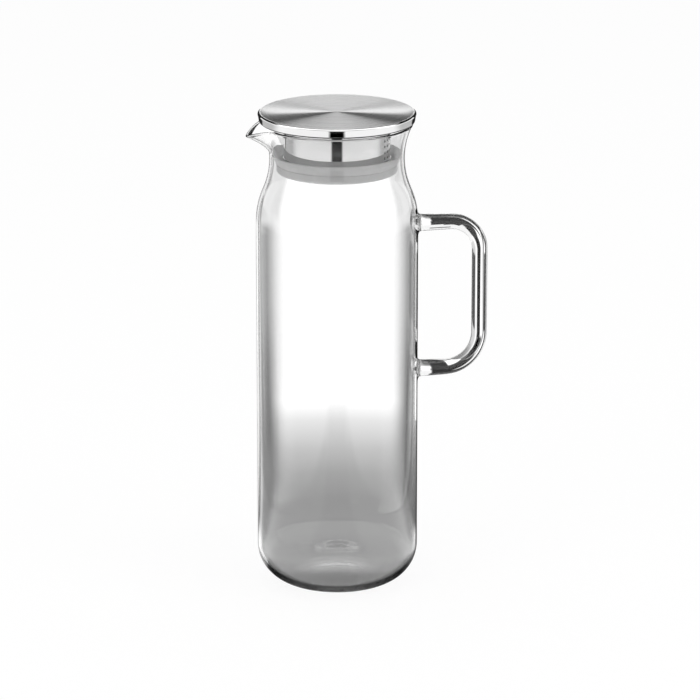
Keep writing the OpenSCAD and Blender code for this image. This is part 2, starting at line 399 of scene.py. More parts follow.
vessel = {
    "height": 0.279, "bodyRadius": 0.0475, "wall": 0.0014, "floor": 0.0026,
    "heelRadius": 0.022, "footWidth": 0.0065, "puntHeight": 0.0012,
    "neckRadius": 0.0395, "flareRadius": 0.0462, "waistDrop": 0.021, "shoulderDrop": 0.038,
    "rimRadius": 0.0008, "beakReach": 0.00895, "beakDip": 0.0058, "beakAngle": 25.0, "beakHeight": 0.017,
    "tipRound": 0.07, "sideRound": 0.12, "curl": 1.65, "flatten": 1.33, "channelSpread": 0.3, "channelThin": 0.25,
    "mouthTop": 0.95, "rimStart": -30.0, "rimTurn": 240.0, "floorRise": 0.8, "turnSteps": 400, "heelSteps": 22,
    "wallSteps": 6, "neckSteps": 20, "mouthRows": 18, "rimSteps": 12, "puntSteps": 6, "footSteps": 4, "floorSteps": 8,
    "slopeStep": 0.01, "smoothAngle": 60,
}
# Places closer than this count as the same
hair = 0.0003
bodyR, wall = vessel["bodyRadius"], vessel["wall"]
waistZ = vessel["height"] - vessel["waistDrop"]
shoulderZ = waistZ - vessel["shoulderDrop"]
flareR = vessel["flareRadius"]
flareX = vessel["neckRadius"] + flareR
flareIn = flareX - bodyR
shoulderR = (flareIn**2 + vessel["shoulderDrop"]**2 - flareR**2) / (2 * (flareR - flareIn))
shoulderX = bodyR - shoulderR
shoulderTurn = degrees(asin(vessel["shoulderDrop"] / (flareR + shoulderR)))
rimR = vessel["rimRadius"]
rimZ = vessel["height"] - rimR - wall / 2 * vessel["waistDrop"] / flareR
beakZ = vessel["height"] - vessel["beakHeight"]


def neckRadius(z, grow=0.0):
    return flareX - sqrt((flareR + grow)**2 - (z - waistZ)**2)


# Share of the way from the beak's side to its tip, rounded at both
def beakShare(angle, spread):
    tip = vessel["beakAngle"] * vessel["tipRound"]
    off = hypot(angle, tip) - tip
    share = max(0.0, 1 - off / (vessel["beakAngle"] * spread))
    side = vessel["sideRound"]
    return (hypot(share, side) - side) / (hypot(1, side) - side)


def mouthOuter(angle, level):
    lift = 0.0
    if level > 0:
        sharp = beakShare(angle, 1 + vessel["channelSpread"] * (1 - level))
        soft = (1 - cos(pi * sharp)) / 2
        lift = vessel["beakReach"] * level**vessel["curl"] * (sharp * level + soft * (1 - level))
    edge = rimZ - vessel["beakDip"] * beakShare(angle, 1)**vessel["flatten"]
    return neckRadius(beakZ + (rimZ - beakZ) * level) + lift, beakZ + (edge - beakZ) * level


# Point of the mouth at an angle from the beak: part is outer, inner or rim, place its level or its turn round the rim
def mouthPoint(angle, part, place):
    level = 1.0 if part == "rim" else place
    lowR, lowZ = mouthOuter(angle, level - vessel["slopeStep"])
    r, z = mouthOuter(angle, level)
    run, rise = r - lowR, z - lowZ
    length = hypot(run, rise)
    normalR, normalZ = rise / length, -run / length
    if part == "outer":
        return r, z
    if part == "inner":
        thick = wall * (1 - vessel["channelThin"] * level * beakShare(angle, 1))
        return r - thick * normalR, z - thick * normalZ
    turn = radians(place)
    across, along = rimR * cos(turn) - wall / 2, rimR * sin(turn)
    return r + across * normalR - along * normalZ, z + across * normalZ + along * normalR


def vesselOutline():
    foot = bodyR - vessel["heelRadius"]
    puntR = foot - vessel["footWidth"]
    heel, steps, neckSteps = vessel["heelRadius"], vessel["heelSteps"], vessel["neckSteps"]
    rows = [i / vessel["mouthRows"] * vessel["mouthTop"] for i in range(1, vessel["mouthRows"] + 1)]
    turns = [vessel["rimStart"] + vessel["rimTurn"] * i / vessel["rimSteps"] for i in range(vessel["rimSteps"] + 1)]
    mouth = [("outer", row) for row in rows]
    mouth += [("rim", turn) for turn in turns]
    mouth += [("inner", row) for row in reversed(rows)]
    puntShares = [i / vessel["puntSteps"] for i in range(vessel["puntSteps"])]
    heights = [heel + (shoulderZ - heel) * i / vessel["wallSteps"] for i in range(1, vessel["wallSteps"])]
    outer = [(puntR * share, vessel["puntHeight"] * (1 - share**2)) for share in puntShares]
    outer += [(puntR + vessel["footWidth"] * i / vessel["footSteps"], 0.0) for i in range(vessel["footSteps"])]
    outer += arc(foot, heel, heel, heel, -90, 0, steps)
    outer += [(bodyR, z) for z in heights]
    outer += arc(shoulderX, shoulderZ, shoulderR, shoulderR, 0, shoulderTurn, neckSteps)[:-1]
    outer += neckArc(0.0)
    inner = neckArc(wall)[::-1]
    inner += arc(shoulderX, shoulderZ, shoulderR - wall, shoulderR - wall, 0, shoulderTurn, neckSteps)[-2::-1]
    inner += [(bodyR - wall, z) for z in reversed(heights)]
    inner += arc(foot, heel, heel - wall, heel - vessel["floor"], 0, -90, steps)
    floorRise = vessel["puntHeight"] * vessel["floorRise"]
    for i in range(1, vessel["floorSteps"] + 1):
        share = i / vessel["floorSteps"]
        inner.append((foot * (1 - share), vessel["floor"] + floorRise * (1 - cos(pi * share)) / 2))
    return outer, mouth, inner


def neckArc(grow):
    reach = flareR + grow
    end = degrees(asin((beakZ - waistZ) / reach))
    return arc(flareX, waistZ, reach, reach, 180 + shoulderTurn, 180 - end, vessel["neckSteps"])


# The beak is drawn out of the round mouth, on the side away from the handle
def makeVessel():
    outer, mouth, inner = vesselOutline()
    plain = [mouthPoint(180.0, part, place) for part, place in mouth]
    piece = turnOutline("glassBody", outer + plain + inner, vessel["turnSteps"])
    for vertex in piece.data.vertices:
        x, y, z = vertex.co
        if z > beakZ + hair:
            r = hypot(x, y)
            gaps = [(r - plainR)**2 + (z - plainZ)**2 for plainR, plainZ in plain]
            part, place = mouth[gaps.index(min(gaps))]
            newR, newZ = mouthPoint(degrees(atan2(y, -x)), part, place)
            vertex.co = (x * newR / r, y * newR / r, newZ)
    finishPiece(piece, clearGlass, "jug", "glass_body", vessel["smoothAngle"])


clearGlass = makeGlass("clearGlass", glassLook["bodySwell"], glassLook["bodyDepth"], glassLook["scuffHeight"])
makeVessel()


handle = {
    "rodRadius": 0.0046, "armRadius": 0.0051, "gripX": 0.085, "upperZ": 0.217, "lowerZ": 0.128,
    "upperBend": 0.0175, "lowerBend": 0.0205, "sink": 0.0007, "sides": 56, "bendSteps": 22, "gripSteps": 4,
    "footLength": 0.0085, "footHeight": 0.012, "flareSide": 0.0036, "upperFlareUp": 0.0034, "lowerFlareUp": 0.003,
    "flareCurve": 14.0, "coreShare": 0.3, "middleShare": 0.6, "smoothAngle": 60,
    "stops": (0.0, 0.0003, 0.0007, 0.0012, 0.0019, 0.0028, 0.004, 0.0056, 0.0075, 0.0095),
}


def wallRadius(z):
    if z <= shoulderZ:
        return bodyR
    return shoulderX + sqrt(shoulderR**2 - (z - shoulderZ)**2)


def pullRing(dx, dz, ratio, centre):
    bpy.ops.mesh.extrude_region_move(TRANSFORM_OT_translate={"value": (dx, 0, dz)})
    bpy.ops.transform.resize(value=(ratio, ratio, ratio), center_override=centre)


# Spreads the end of an arm over the vessel's wall, as a weld made in the flame does
def spreadFoot(piece, z, flareUp):
    length = handle["footLength"]
    for vertex in piece.data.vertices:
        off = vertex.co.x - bodyR
        if off > length or abs(vertex.co.z - z) > handle["footHeight"]:
            continue
        share = min(1.0, 1 - max(off, 0.0) / length)
        side, up = vertex.co.y, vertex.co.z - z
        radius = hypot(side, up)
        if radius == 0:
            continue
        lean = up / radius
        flare = handle["flareSide"] + (flareUp - handle["flareSide"]) * max(0.0, lean)**2
        grow = 1 + flare * share**handle["flareCurve"] / handle["armRadius"]
        y, high = side * grow, z + up * grow
        surface = sqrt(wallRadius(high)**2 - y**2)
        vertex.co = (vertex.co.x + (surface - bodyR) * share, y, high)


# A ring is pulled from the lower foot round the loop to the upper foot. The feet inside the wall get grey-tinted glass,
# painted shade at the welds
def makeHandle():
    deselectAll()
    arm, rod, sink = handle["armRadius"], handle["rodRadius"], handle["sink"]
    lowZ, highZ, gripX = handle["lowerZ"], handle["upperZ"], handle["gripX"]
    lowEnd, highEnd = gripX - handle["lowerBend"], gripX - handle["upperBend"]
    core, middle, stops = handle["coreShare"], handle["middleShare"], handle["stops"]
    bpy.ops.mesh.primitive_circle_add(vertices=handle["sides"], radius=arm * core, fill_type="NOTHING",
                                      location=(bodyR - sink, 0, lowZ), rotation=(0, pi / 2, 0))
    piece = bpy.context.object
    piece.name = piece.data.name = "glassHandle"
    bpy.ops.object.mode_set(mode="EDIT")
    bpy.ops.mesh.select_all(action="SELECT")
    pullRing(0, 0, middle / core, (bodyR - sink, 0, lowZ))
    pullRing(0, 0, 1 / middle, (bodyR - sink, 0, lowZ))
    at, radius = bodyR - sink, arm
    for x in [bodyR + stop for stop in stops] + [lowEnd]:
        wanted = arm + (rod - arm) * max(0.0, x - bodyR) / (lowEnd - bodyR)
        pullRing(x - at, 0, wanted / radius, (x, 0, lowZ))
        at, radius = x, wanted
    bpy.ops.mesh.spin(steps=handle["bendSteps"], angle=pi / 2, axis=(0, 1, 0),
                      center=(lowEnd, 0, lowZ + handle["lowerBend"]))
    rise = highZ - handle["upperBend"] - lowZ - handle["lowerBend"]
    for _ in range(handle["gripSteps"]):
        pullRing(0, rise / handle["gripSteps"], 1.0, (gripX, 0, highZ))
    bpy.ops.mesh.spin(steps=handle["bendSteps"], angle=pi / 2, axis=(0, 1, 0),
                      center=(highEnd, 0, highZ - handle["upperBend"]))
    at, radius = highEnd, rod
    for x in [bodyR + stop for stop in reversed(stops)] + [bodyR - sink]:
        wanted = arm + (rod - arm) * max(0.0, x - bodyR) / (highEnd - bodyR)
        pullRing(x - at, 0, wanted / radius, (x, 0, highZ))
        at, radius = x, wanted
    pullRing(0, 0, middle, (bodyR - sink, 0, highZ))
    pullRing(0, 0, core / middle, (bodyR - sink, 0, highZ))
    bpy.ops.mesh.select_all(action="SELECT")
    bpy.ops.mesh.fill_holes(sides=0)
    bpy.ops.mesh.select_all(action="SELECT")
    bpy.ops.mesh.remove_doubles(threshold=mergeGap)
    bpy.ops.mesh.normals_make_consistent(inside=False)
    bpy.ops.object.mode_set(mode="OBJECT")
    bpy.ops.object.transform_apply(location=True, rotation=True, scale=True)
    spreadFoot(piece, highZ, handle["upperFlareUp"])
    spreadFoot(piece, lowZ, handle["lowerFlareUp"])
    finishPiece(piece, rodGlass, "jug", "glass_handle", handle["smoothAngle"])
    # Faces of the feet inside the wall take the grey glass, painted shade at the welds
    piece.data.materials.append(weldShadeGlass)
    for face in piece.data.polygons:
        if hypot(face.center.x, face.center.y) < wallRadius(face.center.z) - hair:
            face.material_index = 1


rodGlass = makeGlass("rodGlass", glassLook["rodSwell"], glassLook["rodDepth"], glassLook["noScuff"])
# Grey-tinted glass for the welds: painted shade
weldShadeGlass = makeGlass("weldShadeGlass", glassLook["rodSwell"], glassLook["rodDepth"], glassLook["noScuff"],
                      glassLook["weldShadeTint"])
makeHandle()


lid = {
    "radius": 0.0461, "low": 0.2799, "top": 0.2854, "edgeWidth": 0.0014, "edgeHeight": 0.0012, "lean": 0.0006,
    "hem": 0.0013, "sheet": 0.0007, "skirtIn": 0.0002, "skirtDrop": 0.0007, "turnSteps": 288, "edgeSteps": 14,
    "hemSteps": 8, "faceShares": (0.0, 0.25, 0.5, 0.75, 0.92), "smoothAngle": 40,
}
lidLook = {
    "faceRadius": 0.0446, "faceRoughness": 0.295, "edgeRoughness": 0.06, "brushing": 0.945, "brushTurn": 0.25,
    "colour": 0.9, "lines": 2600.0, "patches": 45.0, "streak": 0.24, "grainDepth": 0.000006, "crown": 0.233,
    # Below the given height the hem is near black: painted shade
    "hemShadeTop": 0.2806, "hemShadeColour": 0.12, "soft": 0.0002,
}


# The face is brushed in rings and slightly crowned, the edge is polished and the hem has painted shade underneath
def makeBrushedSteel():
    material, tree, shader, place = newMaterial("brushedSteel")
    soft = lidLook["soft"]
    shader.inputs["Metallic"].default_value = 1.0
    shader.inputs["Anisotropic"].default_value = lidLook["brushing"]
    shader.inputs["Anisotropic Rotation"].default_value = lidLook["brushTurn"]
    tangent = addNode(tree, "ShaderNodeTangent", (0, -500), direction_type="RADIAL", axis="Z")
    tree.links.new(tangent.outputs["Tangent"], shader.inputs["Tangent"])
    turned = useGroup(tree, turnedGrain, (-600, 0), Vector=place, Lines=lidLook["lines"],
                      Patches=lidLook["patches"])
    x, y, z = splitVector(tree, place, (-800, -300))
    radius = axisDistance(tree, x, y)
    onFace = fade(tree, radius, lidLook["faceRadius"] + soft, lidLook["faceRadius"] - soft)
    rough = fade(tree, onFace, 0.0, 1.0, toLow=lidLook["edgeRoughness"], toHigh=lidLook["faceRoughness"])
    streak = calc(tree, "MULTIPLY", calc(tree, "SUBTRACT", turned.outputs["Streak"], 0.5), lidLook["streak"])
    plug(tree, calc(tree, "ADD", rough, calc(tree, "MULTIPLY", streak, onFace)), shader.inputs["Roughness"])
    shade = tintRamp(tree, turned.outputs["Patch"], lidLook["colour"])
    # Painted shade: near-black colour along the hem's lower edge
    paintedHemShade = fade(tree, z, lidLook["hemShadeTop"] + soft, lidLook["hemShadeTop"] - soft)
    plug(tree, mixColours(tree, paintedHemShade, shade, grey(lidLook["hemShadeColour"])), shader.inputs["Base Color"])
    grooves = calc(tree, "MULTIPLY", turned.outputs["Streak"], lidLook["grainDepth"])
    height = calc(tree, "MULTIPLY_ADD", radius, -lidLook["crown"], grooves)
    addBump(tree, shader, calc(tree, "MULTIPLY", height, onFace), 1.0, 1.0)
    return material


def makeLid():
    faceR, hemR, sheet = lid["radius"] - lid["edgeWidth"], lid["radius"] - lid["lean"], lid["sheet"]
    turnZ, low, top = lid["top"] - lid["edgeHeight"], lid["low"], lid["top"]
    outline = [(faceR * share, top) for share in lid["faceShares"]]
    outline += arc(faceR, turnZ, lid["edgeWidth"], lid["edgeHeight"], 90, 0, lid["edgeSteps"])
    outline += [(lid["radius"] - lid["skirtIn"], turnZ - lid["skirtDrop"])]
    outline += arc(hemR - sheet, low + lid["hem"], sheet, lid["hem"], 0, -90, lid["hemSteps"])
    outline += arc(faceR, turnZ, lid["edgeWidth"] - sheet, lid["edgeHeight"] - sheet, 0, 90, lid["edgeSteps"])
    outline += [(faceR * share, top - sheet) for share in lid["faceShares"][-2::-1]]
    piece = turnOutline("lidCap", outline, lid["turnSteps"])
    finishPiece(piece, brushedSteel, "lid", "lid_cap", lid["smoothAngle"])


brushedSteel = makeBrushedSteel()
makeLid()


collar = {
    "radius": 0.031, "sheet": 0.0007, "top": 0.28065, "flange": 0.004, "bead": 0.0009, "beadGap": 0.002,
    "upperBead": 0.2584, "lowerBead": 0.2518, "wallLow": 0.265, "wallHigh": 0.2735, "holeZ": 0.2716,
    "rowPitch": 0.0035, "columnPitch": 0.0036, "rows": 4, "columns": 12, "holeRadius": 0.00085, "holeSides": 24,
    "drillDepth": 0.004, "beadSteps": 12, "turnSteps": 288, "smoothAngle": 35,
}
collarLook = {
    "roughness": 0.06, "uneven": 0.3, "colour": 0.62, "lines": 1800.0, "patches": 60.0,
    # The inside colour is painted shade in the tube and its holes
    "insideShadeRadius": 0.0307, "insideShadeColour": 0.04,
}


def drillHoles(piece):
    deselectAll()
    drills = []
    step = collar["columnPitch"] / collar["radius"]
    middle = collar["radius"] - collar["sheet"] / 2
    for row in range(collar["rows"]):
        for column in range(collar["columns"]):
            turn = (column - (collar["columns"] - 1) / 2) * step
            place = (middle * cos(turn), middle * sin(turn), collar["holeZ"] - row * collar["rowPitch"])
            bpy.ops.mesh.primitive_cylinder_add(vertices=collar["holeSides"], radius=collar["holeRadius"],
                                                depth=collar["drillDepth"], location=place,
                                                rotation=(0, pi / 2, turn))
            drills.append(bpy.context.object)
    for drill in drills:
        drill.select_set(True)
    bpy.context.view_layer.objects.active = drills[0]
    bpy.ops.object.join()
    drill = bpy.context.object
    applyModifier(piece, "BOOLEAN", operation="DIFFERENCE", solver="EXACT", object=drill)
    bpy.data.objects.remove(drill)


# An open tube with a flange at its top, two beads that hold the seal and strainer holes on the handle's side
def makeCollar():
    radius, inner = collar["radius"], collar["radius"] - collar["sheet"]
    top, bead, beadSteps = collar["top"], collar["bead"], collar["beadSteps"]
    flangeR, low, high = inner - collar["flange"], collar["lowerBead"], collar["upperBead"]
    outline = [(inner, low - bead)]
    outline += arc(radius, low, bead, bead, -90, 90, beadSteps)
    outline += arc(radius, high, bead, bead, -90, 90, beadSteps)
    outline += [(radius, high + collar["beadGap"]), (radius, collar["wallLow"]), (radius, collar["wallHigh"])]
    outline += [(radius, top), (flangeR, top), (flangeR, top - collar["sheet"]), (inner, top - collar["sheet"])]
    outline += [(inner, collar["wallHigh"]), (inner, collar["wallLow"]), (inner, low - bead)]
    piece = turnOutline("strainerCollar", outline, collar["turnSteps"])
    drillHoles(piece)
    finishPiece(piece, collarSteel, "lid", "strainer_collar", collar["smoothAngle"])


collarSteel = makeSmoothSteel("collarSteel", collarLook)
makeCollar()


seal = {
    "radius": 0.0353, "low": 0.25, "flareZ": 0.2556, "lipZ": 0.2616, "lipRadius": 0.03795, "lipThick": 0.001,
    "edge": 0.002, "groove": 0.0003, "bore": 0.03105, "seatRadius": 0.03205, "seatZ": 0.25285, "ledge": 0.25735,
    "bevelIn": 0.0001, "bevelUp": 0.0002, "ledgeIn": 0.0003, "edgeSteps": 10, "lipSteps": 12, "turnSteps": 288,
    "smoothAngle": 35,
}
sealLook = {
    # The ring's inner and outer colours are painted light and painted shade
    "innerPaintedLight": 0.97, "outerPaintedShade": 0.55, "paintedShadeRadius": 0.0347, "colourSoft": 0.0003, "clear": 0.3, "ior": 1.41,
    "soft": 0.6, "softDepth": 0.004, "roughness": 0.4, "roughSpread": 0.05, "cloudScale": 260.0, "cloudDetail": 3.0,
    "bump": 0.2, "bumpDepth": 0.0001,
}


# Cloudy silicone with painted light and shade: paler behind the face of the ring, whose lip leans out, darker on the
# face
def makeSilicone():
    material, tree, shader, place = newMaterial("silicone")
    shader.inputs["Transmission Weight"].default_value = sealLook["clear"]
    shader.inputs["IOR"].default_value = sealLook["ior"]
    shader.inputs["Subsurface Weight"].default_value = sealLook["soft"]
    shader.inputs["Subsurface Radius"].default_value = (1.0, 1.0, 1.0)
    shader.inputs["Subsurface Scale"].default_value = sealLook["softDepth"]
    cloud = addNode(tree, "ShaderNodeTexNoise", (-600, 0))
    cloud.inputs["Scale"].default_value = sealLook["cloudScale"]
    cloud.inputs["Detail"].default_value = sealLook["cloudDetail"]
    tree.links.new(place, cloud.inputs["Vector"])
    clouds = cloud.outputs["Fac"]
    x, y, z = splitVector(tree, place, (-800, -300))
    slope = (seal["lipRadius"] - seal["radius"]) / (seal["lipZ"] - seal["flareZ"])
    over = calc(tree, "MAXIMUM", calc(tree, "SUBTRACT", z, seal["flareZ"]), 0.0)
    radius = calc(tree, "SUBTRACT", axisDistance(tree, x, y), calc(tree, "MULTIPLY", over, slope))
    # Painted light on the shaded ledge inside the given radius, painted shade on the outer face
    edge, soft = sealLook["paintedShadeRadius"], sealLook["colourSoft"]
    paintedLightAndCloud = fade(tree, radius, edge - soft, edge + soft, toLow=sealLook["innerPaintedLight"], toHigh=sealLook["outerPaintedShade"])
    paintedLightAndCloud = calc(tree, "ADD", paintedLightAndCloud, fade(tree, clouds, noiseLow, noiseHigh, toLow=-tintSpread, toHigh=tintSpread))
    plug(tree, paintedLightAndCloud, shader.inputs["Base Color"])
    low, high = sealLook["roughness"] - sealLook["roughSpread"], sealLook["roughness"] + sealLook["roughSpread"]
    plug(tree, fade(tree, clouds, noiseLow, noiseHigh, toLow=low, toHigh=high), shader.inputs["Roughness"])
    addBump(tree, shader, clouds, sealLook["bump"], sealLook["bumpDepth"])
    return material


def makeSeal():
    radius, low, flareZ, groove = seal["radius"], seal["low"], seal["flareZ"], seal["groove"]
    thick, edge, ledge = seal["lipThick"], seal["edge"], seal["ledge"]
    bevelIn, bevelUp = seal["bevelIn"], seal["bevelUp"]
    half = thick / 2
    outline = [(seal["seatRadius"], low)]
    outline += arc(radius - edge, low + edge, edge, edge, -90, 0, seal["edgeSteps"])
    outline += [(radius, flareZ - 3 * groove), (radius, flareZ - 2 * groove), (radius - groove, flareZ - groove)]
    outline += [(radius, flareZ), (radius + bevelIn, flareZ + bevelUp)]
    outline += arc(seal["lipRadius"] - half, seal["lipZ"] - half, half, half, -45, 135, seal["lipSteps"])
    outline += [(radius - thick + bevelIn, ledge + bevelUp), (radius - thick - seal["ledgeIn"], ledge)]
    outline += [(seal["bore"], ledge), (seal["bore"], seal["seatZ"]), (seal["seatRadius"], seal["seatZ"])]
    outline += [outline[0]]
    piece = turnOutline("sealRing", outline, seal["turnSteps"])
    finishPiece(piece, silicone, "seal", "silicone_seal", seal["smoothAngle"])


silicone = makeSilicone()
makeSeal()


# The pan's dark colour is painted shade under the lid, seen darker in the rim's reflection
panLook = {"roughness": 0.3, "uneven": 0.3, "colour": 0.3, "lines": 900.0, "patches": 60.0, "insideShadeRadius": 0.0}

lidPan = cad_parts["lid_pan"]
lidPan.data.materials.clear()
lidPan.data.materials.append(makeSmoothSteel("shadedPanSteel", panLook))
print("pan finished")


# Fans on the floor: spans of the slope away from the jug's side, of the distance from the axis and of the brightness
fans = {
    "sideReach": (0.06, 0.2), "sideNear": 0.0465, "sideFar": 0.034, "leastBehind": 0.01,
    "start": (0.025, 0.105), "endRight": (0.36, 0.28), "endLeft": (0.25, 0.18), "distant": (0.8, 0.89),
    "paleStart": (0.035, 0.055), "lineStart": (0.15, 0.18), "besideStart": (0.2, 0.27),
    "closeAcross": (0.06, 0.085), "closeBehind": (0.09, 0.06),
    "darkReach": (0.42, 0.62), "darkNear": 0.12, "darkFar": 0.27, "paleLevel": 0.82, "lineLevel": 0.04,
}


# Dark fans run back from the jug on the floor and give clear glass its grey sides, lighter where its neck shows them
def makeFans(tree, where):
    across, behind, reach = where.outputs["Across"], where.outputs["Behind"], where.outputs["Reach"]
    size = calc(tree, "ABSOLUTE", across)
    onLeft = calc(tree, "LESS_THAN", across, 0.0)
    isBehind = calc(tree, "GREATER_THAN", behind, 0.0)
    side = fade(tree, reach, *fans["sideReach"], toLow=fans["sideNear"], toHigh=fans["sideFar"])
    spread = calc(tree, "DIVIDE", calc(tree, "SUBTRACT", size, side),
                  calc(tree, "MAXIMUM", behind, fans["leastBehind"]))
    end = blend(tree, onLeft, fade(tree, spread, *fans["endRight"]), fade(tree, spread, *fans["endLeft"]))
    end = both(tree, end, isBehind)
    distant = fade(tree, reach, *fans["distant"])
    dark = both(tree, both(tree, fade(tree, spread, *fans["start"]), end), calc(tree, "SUBTRACT", 1.0, distant))
    pale = both(tree, both(tree, fade(tree, spread, *fans["paleStart"]), end), distant)
    line = both(tree, both(tree, fade(tree, spread, *fans["lineStart"]), end), distant)
    beside = both(tree, both(tree, onLeft, isBehind), fade(tree, spread, *fans["besideStart"]))
    close = both(tree, fade(tree, size, *fans["closeAcross"]), fade(tree, behind, *fans["closeBehind"]))
    return (dark, pale, line), calc(tree, "MAXIMUM", beside, close), onLeft


def paintFans(tree, bands, reach, level):
    dark, pale, line = bands
    darkLevel = fade(tree, reach, *fans["darkReach"], toLow=fans["darkNear"], toHigh=fans["darkFar"])
    level = blend(tree, dark, level, darkLevel)
    level = blend(tree, pale, level, fans["paleLevel"])
    return blend(tree, line, level, fans["lineLevel"])


# Spans of turn and reach, and how bright or how much darker the floor is there. Ramps run out to rampReach
floorLook = {
    "radius": 6.0, "sides": 128, "drop": 0.00005, "colour": 0.93, "shadowShare": 0.1, "transmitted": 1.2, "fill": 2.5,
    "rampReach": 0.4,
    "backRamp": ((0.0, 0.14), (0.06, 0.22), (0.2, 0.27), (0.36, 0.27), (0.5, 0.325), (0.62, 0.43), (0.78, 0.67),
                 (0.9, 1.0)),
    "frontRamp": ((0.0, 0.03), (0.5, 0.04), (0.7, 0.2), (0.88, 0.9), (1.0, 1.0)), "frontTurn": (0.4, 0.6),
    "pastJug": (0.08, 0.14),
    "wedgeTurn": (0.922, 0.952), "wedgeReach": (0.33, 0.38), "bandReach": (0.84, 0.92),
    "sideRise": (0.12, 0.19), "sideFall": (0.5, 0.36), "sideDark": 0.45,
    "edgeRise": (0.195, 0.215), "edgeFall": (0.255, 0.235), "edgeDark": 0.8, "edgeBend": (0.3, 0.55), "edgeShift": 0.04,
    "endReach": (0.8, 1.0), "endRise": (0.055, 0.075), "endFall": (0.17, 0.145), "endLevel": 0.05,
    "underBehind": (0.03, -0.012), "underReach": (0.14, 0.08), "underDark": 0.5,
    "aheadTurn": (0.5, 0.62), "aheadReach": (0.99, 0.9), "aheadDark": 0.3,
    "flankRise": (0.3, 0.36), "flankFall": (0.64, 0.56), "flankFrom": (0.25, 0.35), "flankTo": (0.97, 0.9),
    "flankLevel": 0.15,
}


# How bright the floor is in reflections and how bright it shows through the glass
def floorLevels(tree, where):
    turn, reach, behind = where.outputs["Turn"], where.outputs["Reach"], where.outputs["Behind"]
    bands, outside, onLeft = makeFans(tree, where)
    share = calc(tree, "DIVIDE", reach, floorLook["rampReach"])
    back = blend(tree, outside, ramp(tree, share, floorLook["backRamp"]), 1.0)
    wedge = fade(tree, turn, *floorLook["wedgeTurn"])
    pastJug = fade(tree, reach, *floorLook["pastJug"])
    sides = both(tree, between(tree, turn, floorLook["sideRise"], floorLook["sideFall"]), pastJug)
    shift = fade(tree, reach, *floorLook["edgeBend"], toLow=0.0, toHigh=floorLook["edgeShift"])
    shifted = calc(tree, "ADD", turn, shift)
    edge = both(tree, onLeft, between(tree, shifted, floorLook["edgeRise"], floorLook["edgeFall"]))
    edge = both(tree, edge, pastJug)
    beside = both(tree, darken(tree, sides, floorLook["sideDark"]), darken(tree, edge, floorLook["edgeDark"]))
    back = both(tree, back, beside)

    end = both(tree, fade(tree, reach, *floorLook["endReach"]),
               between(tree, turn, floorLook["endRise"], floorLook["endFall"]))
    shine = paintFans(tree, bands, reach, blend(tree, end, back, floorLook["endLevel"]))
    cut = both(tree, wedge, fade(tree, reach, *floorLook["wedgeReach"]))
    front = both(tree, ramp(tree, share, floorLook["frontRamp"]), calc(tree, "SUBTRACT", 1.0, cut))
    shine = blend(tree, fade(tree, turn, *floorLook["frontTurn"]), shine, front)

    under = both(tree, fade(tree, behind, *floorLook["underBehind"]), fade(tree, reach, *floorLook["underReach"]))
    level = both(tree, both(tree, back, floorLook["transmitted"]), darken(tree, under, floorLook["underDark"]))
    band = both(tree, wedge, fade(tree, reach, *floorLook["bandReach"]))
    level = paintFans(tree, bands, reach, both(tree, level, calc(tree, "SUBTRACT", 1.0, band)))
    ahead = both(tree, fade(tree, turn, *floorLook["aheadTurn"]), fade(tree, reach, *floorLook["aheadReach"]))
    level = both(tree, level, darken(tree, ahead, floorLook["aheadDark"]))
    flank = both(tree, between(tree, turn, floorLook["flankRise"], floorLook["flankFall"]),
                 between(tree, reach, floorLook["flankFrom"], floorLook["flankTo"]))
    return shine, blend(tree, flank, level, floorLook["flankLevel"])


# Seen directly the floor is white with the jug's soft shadow. Metal and glass see its pattern
def makeFloor():
    deselectAll()
    bpy.ops.mesh.primitive_circle_add(vertices=floorLook["sides"], radius=floorLook["radius"], fill_type="NGON",
                                      location=(0, 0, -floorLook["drop"]))
    floor = bpy.context.object
    floor.name = "floor"
    material = bpy.data.materials.new("paleFloor")
    tree = emptyTree(material)
    place = addNode(tree, "ShaderNodeTexCoord", (-1200, 0)).outputs["Object"]
    where = useGroup(tree, studioMap, (-1000, 0), Vector=place)
    shine, level = floorLevels(tree, where)
    light = addNode(tree, "ShaderNodeLightPath", (-600, 500))
    bounced = calc(tree, "GREATER_THAN", light.outputs["Diffuse Depth"], 0.5)
    level = blend(tree, bounced, level, floorLook["fill"])
    shine = blend(tree, bounced, shine, floorLook["fill"])
    plain = addNode(tree, "ShaderNodeBsdfDiffuse", (-300, 300))
    plain.inputs["Color"].default_value = grey(floorLook["colour"])
    seen = mixShaders(tree, floorLook["shadowShare"], glow(tree, 1.0), plain.outputs["BSDF"])
    surface = mixShaders(tree, light.outputs["Is Glossy Ray"], plain.outputs["BSDF"], glow(tree, shine))
    surface = mixShaders(tree, light.outputs["Is Transmission Ray"], surface, glow(tree, level))
    surface = mixShaders(tree, light.outputs["Is Camera Ray"], surface, seen)
    output = addNode(tree, "ShaderNodeOutputMaterial", (500, 0))
    tree.links.new(surface, output.inputs["Surface"])
    floor.data.materials.append(material)


backdrop = {"behind": 0.051, "width": 1.6, "height": 1.0}
